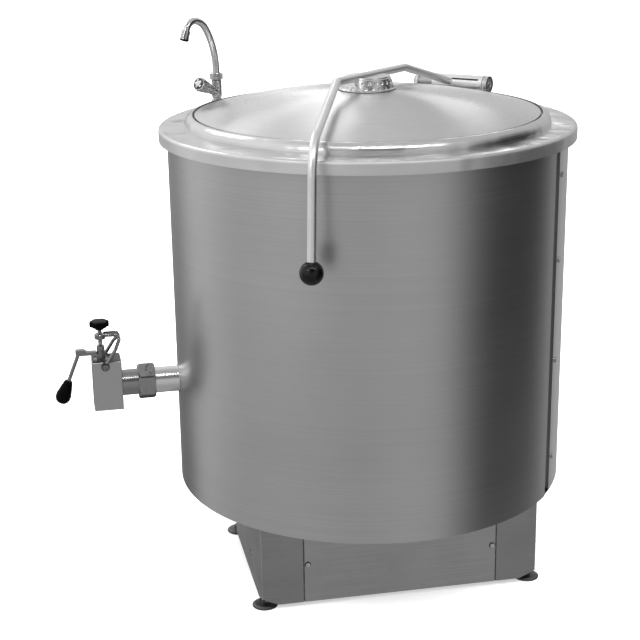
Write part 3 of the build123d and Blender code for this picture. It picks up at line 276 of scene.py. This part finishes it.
SLOT_FINISHES = {
    "casing_steel": CASING,
    "rim_steel": RIM,
    "lid_steel": LID,
    "base_steel": BASE,
    "inner_steel": INNER,
    "polished_steel": CHROME,
    "valve_metal": CAST,
    "black_plastic": BLACK,
    "dark_plastic": DARK,
    "seal_rubber": RUBBER,
    "insulation": WOOL,
    "bush_brass": BRASS,
    "spring_steel": SPRING,
}
OWN_FINISHES = (
    (PANEL, "service_panel"),
    (FRONT, "front_panel", "plinth_frame"),
    (PLAIN, "panel_rails", "casing_floor", "vessel_supports", "steam_jacket"),
    (PIPE, "outlet_pipe", "steam_inlet_pipe", "condensate_pipe", "tap_feed_pipe"),
    (SHADED_TAIL, "tail_pipe"),
    (NUT, "union_nut"),
    (FOOT, "foot_front_left", "foot_front_right", "foot_rear_left", "foot_rear_right"),
    (BOLT, "service_panel_screws", "panel_screws", "hub_bolts", "hinge_bolts", "hinge_cap"),
    (ROD, "lid_arm"),
    (HUB, "lid_hub"),
    (TAP, "tap_body", "spout_nut", "tap_knob", "aerator"),
    (YOKE, "yoke", "clamp_screw", "plug_lever"),
    (PLUG, "yoke_pins", "valve_plug"),
    (KNOB, "clamp_knob", "lever_grip"),
    (BALL, "arm_ball"),
)
NODE_FINISHES = {node: finish for finish, *nodes in OWN_FINISHES for node in nodes}


def dress_nodes():
    """Gives every CAD node its own finish, or else that of its record slot."""
    for name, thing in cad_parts.items():
        finish = NODE_FINISHES.get(name)
        if finish is None:
            slot = thing.data.materials[0].name.split(".")[0] if thing.data.materials else ""
            finish = SLOT_FINISHES.get(slot, PLAIN)
        for index in range(max(1, len(thing.data.materials))):
            if len(thing.data.materials) <= index:
                thing.data.materials.append(finish)
            else:
                thing.data.materials[index] = finish


dress_nodes()


# Small details that ride on the CAD bodies

# Places on the CAD, in millimetres about the kettle's axis
BODY_R = 385.0
PIPE_Z, PIPE_R = 386.0, 27.0
PLUG_X, BLOCK_X, BLOCK_TOP = -534.0, -524.75, 439.03
PLATE_HALF_X, PLATE_HALF_Y, PLATE_HOLE_R = 27.2, 26.0, 16.0
PIN_X, PIN_Z, STRAP_FACE = -528.0, 431.5, 34.62
SCREW_SPANS = (("low", 467.4, 474.4), ("high", 490.6, 498.0))  # shaft in view below and above the yoke's eye
SCREW_PITCH, SCREW_R = 1.25, 3.9
SEAM_X, FRONT_Y, SIDE_X = 189.75, -271.04, 271.04
FRONT_SCREW_X, FRONT_SCREW_Z = 182, 88
SIDE_SCREW_Y, SIDE_SCREW_Z = -137, 59
HUB_FOOT = 940.4
SIDE_TURN = math.radians(42.5)  # tap and hinge stand at this angle on both sides of the rear
TAP_REACH, RIM_TOP = 375.0, 879.0
KNOB_TILT, KNOB_RISE, KNOB_LONG = math.radians(24), 26.0, 62.05
SPOUT_END = ((80.7, 177.4), (89.9, 155.4))  # last straight of the spout: reach and height from the tap's foot
AERATOR_LONG = 13.6
TINY = 1e-6
HINGE_REACH, HINGE_Z, HINGE_HALF = 372.0, 906.0, 87.05


def skin(name, rings, body, slot, finish, around=False, smooth=True):
    """Mesh through rings of points. around joins the last ring to the first, else both ends are closed."""
    form = bmesh.new()
    rows = [[form.verts.new(point) for point in ring] for ring in rings]
    pairs = list(zip(rows, rows[1:])) + ([(rows[-1], rows[0])] if around else [])
    for first, second in pairs:
        for i in range(len(first)):
            j = (i + 1) % len(first)
            form.faces.new((first[i], first[j], second[j], second[i]))
    if not around:
        form.faces.new(rows[0])
        form.faces.new(rows[-1])
    bmesh.ops.recalc_face_normals(form, faces=form.faces)
    mesh = bpy.data.meshes.new(name)
    form.to_mesh(mesh)
    form.free()
    for face in mesh.polygons:
        face.use_smooth = smooth
    mesh.materials.append(finish)
    piece = bpy.data.objects.new(name, mesh)
    bpy.context.collection.objects.link(piece)
    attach(piece, body)
    return piece


def mm(x, y, z):
    """A point given in millimetres about the kettle's axis, in the part's frame."""
    return Vector((x, y, z)) / 1000 + AXIS


def circle(steps):
    """Angles at even steps round a circle."""
    return [2 * math.pi * k / steps for k in range(steps)]


def basis(direction):
    """Two unit vectors across a direction that isn't upright, or across the upright one."""
    side = direction.cross(Vector((0, 0, 1)))
    if side.length < 0.01:
        side = Vector((1, 0, 0))
    side.normalize()
    return side, side.cross(direction)


def turned(origin, direction, profile, steps=40, wave=0.0, lobes=0):
    """Rings round an axis. Profile rows are (radius, height) in millimetres; wave gives the outline lobes."""
    direction = Vector(direction).normalized()
    side, up = basis(direction)
    rings = []
    for radius, height in profile:
        middle = origin + direction * height / 1000
        ring = []
        for turn in circle(steps):
            reach = radius * (1 + wave * math.cos(lobes * turn)) / 1000
            ring.append(middle + (side * math.cos(turn) + up * math.sin(turn)) * reach)
        rings.append(ring)
    return rings


def washer(inner, outer, top, soft):
    """Profile of a flat ring with softened edges."""
    return [(inner, 0.0), (outer, 0.0), (outer, top - soft), (outer - soft, top), (inner + soft, top),
            (inner, top - soft)]


def block_top_dark_sheet():
    """Thin dark sheet on the top of the valve block, which makes that top dark, with a hole for the plug."""
    middle, hole = mm(BLOCK_X, 0, BLOCK_TOP), mm(PLUG_X, 0, BLOCK_TOP)
    thick, edge, soft = 0.9, 0.7, 0.25
    directions = [Vector((math.cos(turn), math.sin(turn), 0)) for turn in circle(64)]
    rings = []
    for lift, inset in ((0.0, 0.0), (edge, 0.0), (thick, soft)):
        ring = []
        for out in directions:
            reach = min((PLATE_HALF_X - inset) / max(abs(out.x), TINY),
                        (PLATE_HALF_Y - inset) / max(abs(out.y), TINY))
            ring.append(middle + (out * reach + Vector((0, 0, lift))) / 1000)
        rings.append(ring)
    for lift, radius in ((thick, PLATE_HOLE_R + 0.3), (edge, PLATE_HOLE_R), (0.0, PLATE_HOLE_R)):
        rings.append([hole + (out * radius + Vector((0, 0, lift))) / 1000 for out in directions])
    skin("valve_top_dark_sheet", rings, "kettle", "valve_metal", DARK_STEEL, around=True, smooth=False)


def pin_shade_rings():
    """Thin dark rings on the pivot pins, outside the straps of the yoke: painted shade round the pin heads."""
    for name, side in (("front", -1), ("back", 1)):
        rings = turned(mm(PIN_X, side * STRAP_FACE, PIN_Z), (0, side, 0), washer(6.3, 8.0, 0.5, 0.15))
        skin(f"yoke_pin_shade_{name}", rings, "yoke", "valve_metal", DARK_STEEL, around=True)


def screw_threads():
    """Thread ridges on the clamp screw, above and below the eye of the yoke."""
    ridge = ((0, -0.5), (0.42, -0.12), (0.42, 0.12), (0, 0.5))  # reach and lift
    for name, low, top in SCREW_SPANS:
        turns = (top - low) / SCREW_PITCH
        count = int(turns * 20)
        rings = []
        for k in range(count + 1):
            turn = 2 * math.pi * turns * k / count
            middle = mm(PLUG_X, 0, low + (top - low) * k / count)
            fade = min(1.0, 4.0 * k / count, 4.0 * (count - k) / count)  # ridges run out at both ends
            out = Vector((math.cos(turn), math.sin(turn), 0))
            rings.append([middle + (out * (SCREW_R + reach * fade) + Vector((0, 0, lift))) / 1000
                          for reach, lift in ridge])
        skin(f"clamp_thread_{name}", rings, "clamp_screw", "polished_steel", BOLT)


def seam_seals():
    """Dark seals that fill the upright gaps between the front panel and its legs."""
    profile = [(-1.05, -268.9), (-1.05, -269.9), (-0.6, -270.4), (0.6, -270.4), (1.05, -269.9),
               (1.05, -268.9)]
    for name, side in (("left", -1), ("right", 1)):
        rings = [[mm(side * SEAM_X + x, y, z) for x, y in profile] for z in (11.0, 60.0, 120.0, 169.4)]
        skin(f"panel_seal_{name}", rings, "kettle", "seal_rubber", RUBBER, smooth=False)


def painted_screw_shades():
    """Thin dark rings round the heads of the screws of the base: painted shade in their countersinks."""
    places = [(mm(side * FRONT_SCREW_X, FRONT_Y, FRONT_SCREW_Z), (0, -1, 0)) for side in (-1, 1)]
    places += [(mm(side * SIDE_X, SIDE_SCREW_Y, SIDE_SCREW_Z), (side, 0, 0)) for side in (-1, 1)]
    for index, (place, out) in enumerate(places):
        rings = turned(place, out, washer(4.6, 6.1, 0.25, 0.1))
        skin(f"screw_shade_ring_{index}", rings, "kettle", "valve_metal", DARK_STEEL, around=True)


def pipe_weld():
    """Weld bead where the drain pipe leaves the casing."""
    ripples, sunk = 34, 0.15
    bead, ripple_depth = 1.35, 0.18
    rings = []
    for turn in circle(120):
        out = Vector((0, math.cos(turn), math.sin(turn)))
        y, z = PIPE_R * out.y, PIPE_R * out.z
        centre = mm(-math.sqrt(BODY_R ** 2 - y * y) - sunk, y, PIPE_Z + z)
        fat = bead + ripple_depth * math.sin(turn * ripples)
        ring = []
        for a in circle(10):
            proud = -abs(math.sin(a)) if math.sin(a) > 0 else 0.1
            ring.append(centre + (out * math.cos(a) * fat + Vector((proud, 0, 0)) * fat) / 1000)
        rings.append(ring)
    skin("pipe_weld", rings, "kettle", "polished_steel", BOLT, around=True)


def foot_pads():
    """Rubber edges of the levelling feet."""
    profile = [(22.9, 0.1), (24.2, 0.1), (24.6, 0.8), (24.4, 2.4), (23.2, 3.0), (22.9, 2.8)]
    for name in ("foot_front_left", "foot_front_right", "foot_rear_left", "foot_rear_right"):
        low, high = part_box(name)
        centre = Vector(((low[0] + high[0]) / 2, (low[1] + high[1]) / 2, 0.0))
        rings = turned(centre, (0, 0, 1), profile, 64)
        skin(name.replace("foot", "pad"), rings, "kettle", "seal_rubber", RUBBER, around=True)


def hub_ring():
    """Thin seal between the hub and the lid."""
    edge = [(54.05, -0.2), (55.3, -0.25), (55.6, 0.35), (55.0, 0.9), (54.05, 1.0)]
    rings = turned(mm(0, 0, HUB_FOOT), (0, 0, 1), edge, 96)
    skin("hub_seal", rings, "lid", "seal_rubber", RUBBER, around=True)


TAP_FOOT = mm(-TAP_REACH * math.sin(SIDE_TURN), TAP_REACH * math.cos(SIDE_TURN), RIM_TOP)
TAP_OUT = Vector((-math.cos(SIDE_TURN), -math.sin(SIDE_TURN), 0))


def tap_cap():
    """End of the tap's knob: a dark disc with a lobed bright button."""
    along = TAP_OUT * math.cos(KNOB_TILT) + Vector((0, 0, math.sin(KNOB_TILT)))
    end = TAP_FOOT + Vector((0, 0, KNOB_RISE)) / 1000 + along * KNOB_LONG / 1000
    disc = [(11.4, 0.0), (11.4, 0.5), (10.9, 0.8), (2.0, 0.8)]
    button = [(7.6, 0.85), (7.9, 1.6), (7.2, 2.3), (4.0, 2.9), (0.6, 3.0)]
    skin("tap_cap_back", turned(end, along, disc), "tap_handle", "polished_steel", DARK_STEEL)
    skin("tap_cap", turned(end, along, button, 60, 0.26, 5), "tap_handle", "polished_steel", CHROME)


def aerator_insert():
    """Black outlet ring inside the lower end of the aerator."""
    (near, high), (far, low) = SPOUT_END
    along = (TAP_OUT * (far - near) + Vector((0, 0, low - high))).normalized()
    end = TAP_FOOT + (TAP_OUT * far + Vector((0, 0, low))) / 1000 + along * AERATOR_LONG / 1000
    profile = [(5.6, -1.5), (5.6, 0.6), (6.4, 1.3), (8.4, 1.2), (8.8, 0.6), (8.8, 0.0), (6.0, -0.1),
               (5.7, -1.5)]
    skin("aerator_insert", turned(end, along, profile), "spout", "black_plastic", BLACK, around=True)


def hinge_end():
    """Rim and adjusting star on the cap at the right end of the hinge."""
    out = Vector((math.sin(SIDE_TURN), math.cos(SIDE_TURN), 0))
    along = Vector((math.cos(SIDE_TURN), -math.sin(SIDE_TURN), 0))
    centre = mm(0, 0, HINGE_Z) + (out * HINGE_REACH + along * HINGE_HALF) / 1000
    rim = turned(centre, along, washer(14.6, 17.2, 0.9, 0.3), 64)
    star = turned(centre, along, [(5.4, 0.0), (5.4, 1.2), (4.8, 1.7), (1.2, 1.9)], 60, 0.16, 6)
    skin("hinge_cap_rim", rim, "kettle", "polished_steel", DARK_STEEL, around=True)
    skin("hinge_star", star, "kettle", "valve_metal", BOLT)


block_top_dark_sheet()
pin_shade_rings()
screw_threads()
seam_seals()
painted_screw_shades()
pipe_weld()
foot_pads()
hub_ring()
tap_cap()
aerator_insert()
hinge_end()


# Floor, light and camera

FLOOR_R, FLOOR_Z = 90.0, -0.0002
PAPER_GLOW = 0.5  # keeps the shadows on the paper pale


def make_floor():
    """Plain pale paper under the kettle, out to beyond every view. Metal doesn't mirror it."""
    mesh = bpy.data.meshes.new("floor")
    form = bmesh.new()
    bmesh.ops.create_circle(form, cap_ends=True, segments=96, radius=FLOOR_R)
    form.to_mesh(mesh)
    form.free()
    floor = bpy.data.objects.new("floor", mesh)
    bpy.context.collection.objects.link(floor)
    paper = Finish("floor_paper", shade(0.9), 0.0, 0.9, Emission_Color=(1.0, 1.0, 1.0, 1.0),
                   Emission_Strength=PAPER_GLOW)
    paper.tint(paper.noise(paper.scaled(3.0), detail=3.0), shade(0.89), shade(0.91))
    mesh.materials.append(paper.mat)
    floor.location.z = FLOOR_Z
    floor.visible_glossy = False


make_floor()


def aim(azimuth, elevation):
    """Unit vector from the object toward a place in the room: azimuth from +X, in degrees."""
    a, e = math.radians(azimuth), math.radians(elevation)
    return (math.cos(a) * math.cos(e), math.sin(a) * math.cos(e), math.sin(e))


ROOM_LIGHT, ROOM_DARKEST = 0.54, 0.03
# Places in the room: azimuth, elevation, reach in degrees (outer, inner), added light
ROOM = (
    (0, 90, 100, 74, 0.18),
    (0, -90, 68, 56, -0.08),
    (-9, -13, 54, 14, -0.50),
    (-6, 14, 40, 12, -0.24),
    (36, -30, 36, 8, 0.22),
    (-6, -42, 26, 6, 0.20),
    (97, -28, 40, 20, -0.38),
    (121, -17, 20, 6, -0.20),
    (-76, -15, 30, 8, 0.06),
    (-104, 46, 38, 16, -0.60),
    (130, 22, 62, 10, 0.45),
    (-150, 30, 50, 10, 0.40),
)


def lobe(tree, azimuth, elevation, outer, inner):
    """How near a direction of the room is to a given one: 0 past the outer reach, 1 within the inner one."""
    coord = tree.nodes.new("ShaderNodeTexCoord")
    toward = tree.nodes.new("ShaderNodeVectorMath")
    toward.operation = "DOT_PRODUCT"
    toward.inputs[1].default_value = aim(azimuth, elevation)
    tree.links.new(coord.outputs["Generated"], toward.inputs[0])
    made = tree.nodes.new("ShaderNodeMapRange")
    made.interpolation_type = "SMOOTHSTEP"
    made.inputs["From Min"].default_value = math.cos(math.radians(outer))
    made.inputs["From Max"].default_value = math.cos(math.radians(inner))
    tree.links.new(toward.outputs["Value"], made.inputs["Value"])
    return made.outputs["Result"]


def make_room():
    """The room's soft light by direction, with a dim side on the right."""
    world = bpy.data.worlds.new("room")
    bpy.context.scene.world = world
    world.use_nodes = True
    tree = world.node_tree
    tree.nodes.clear()
    output = tree.nodes.new("ShaderNodeOutputWorld")
    background = tree.nodes.new("ShaderNodeBackground")
    tree.links.new(background.outputs["Background"], output.inputs["Surface"])
    total = None
    for azimuth, elevation, outer, inner, gain in ROOM:
        add = tree.nodes.new("ShaderNodeMath")
        add.operation = "MULTIPLY_ADD"
        add.inputs[1].default_value = gain
        tree.links.new(lobe(tree, azimuth, elevation, outer, inner), add.inputs[0])
        if total is None:
            add.inputs[2].default_value = ROOM_LIGHT
        else:
            tree.links.new(total, add.inputs[2])
        total = add.outputs["Value"]
    least = tree.nodes.new("ShaderNodeMath")
    least.operation = "MAXIMUM"
    least.inputs[1].default_value = ROOM_DARKEST
    tree.links.new(total, least.inputs[0])
    tree.links.new(least.outputs["Value"], background.inputs["Strength"])


make_room()

OVERHEAD, OVERHEAD_SPREAD = 3.4, math.radians(100)
LIGHT_CENTRE = Vector((0, 0, 0.6))  # what the soft lights face
# Name, azimuth, elevation, distance, width, height, brightness of its mirror image
SOFTBOXES = (
    ("back_left_light", 128, 40, 4.5, 1.4, 1.4, 2.2),
    ("front_left_light", -140, 38, 4.5, 1.2, 1.2, 2.5),
    ("front_right_light", -50, 50, 4.5, 0.9, 0.9, 2.5),
    ("lid_strip_left", 81, 25, 4.5, 0.34, 2.0, 1.8),
    ("lid_strip_right", 67.0, 23, 4.5, 0.20, 0.8, 2.4),
    ("spark_0", -128, 52, 4.0, 0.20, 0.20, 42.0),
    ("spark_1", -112, 60, 4.0, 0.20, 0.20, 42.0),
    ("spark_2", -96, 56, 4.0, 0.20, 0.20, 42.0),
    ("spark_3", -82, 62, 4.0, 0.20, 0.20, 42.0),
    ("spark_4", -70, 50, 4.0, 0.20, 0.20, 42.0),
)


def softbox(name, azimuth, elevation, distance, width, height, radiance, in_metal=True):
    """A soft area light."""
    light = bpy.data.lights.new(name, "AREA")
    light.shape = "RECTANGLE"
    light.size, light.size_y = width, height
    light.energy = radiance * math.pi * width * height
    lamp = bpy.data.objects.new(name, light)
    bpy.context.collection.objects.link(lamp)
    toward = Vector(aim(azimuth, elevation))
    lamp.location = LIGHT_CENTRE + toward * distance
    lamp.rotation_mode = "QUATERNION"
    lamp.rotation_quaternion = toward.to_track_quat("Z", "Y")
    lamp.visible_glossy = in_metal


softbox("top_light", 90, 85, 4.5, 6.0, 6.0, 1.05, in_metal=False)
for row in SOFTBOXES:
    softbox(*row)


def overhead_light():
    """Even light from above on the paper, left out of what the metal mirrors."""
    light = bpy.data.lights.new("overhead", "SUN")
    light.energy = OVERHEAD
    light.angle = OVERHEAD_SPREAD
    lamp = bpy.data.objects.new("overhead", light)
    lamp.visible_glossy = False
    bpy.context.collection.objects.link(lamp)


overhead_light()

# The camera that took the photograph, solved from its circles and straight edges
CAMERA_PLACE = (-0.639323, -2.631119, 1.350808)
CAMERA_RIGHT = (0.97967902, -0.20011822, -0.01348035)
CAMERA_UP = (0.07250024, 0.2906566, 0.95407676)
CAMERA_BACK = (-0.18700999, -0.93566631, 0.29925879)
CAMERA_LENS, CAMERA_SENSOR = 81.557, 36.0


def make_camera():
    lens = bpy.data.cameras.new("camera")
    lens.lens = CAMERA_LENS
    lens.sensor_width = CAMERA_SENSOR
    lens.sensor_fit = "HORIZONTAL"
    camera = bpy.data.objects.new("camera", lens)
    bpy.context.collection.objects.link(camera)
    turn = Matrix((CAMERA_RIGHT, CAMERA_UP, CAMERA_BACK)).transposed().to_4x4()
    camera.matrix_world = Matrix.Translation(CAMERA_PLACE) @ turn
    bpy.context.scene.camera = camera


make_camera()
bpy.context.scene.view_settings.view_transform = "Standard"
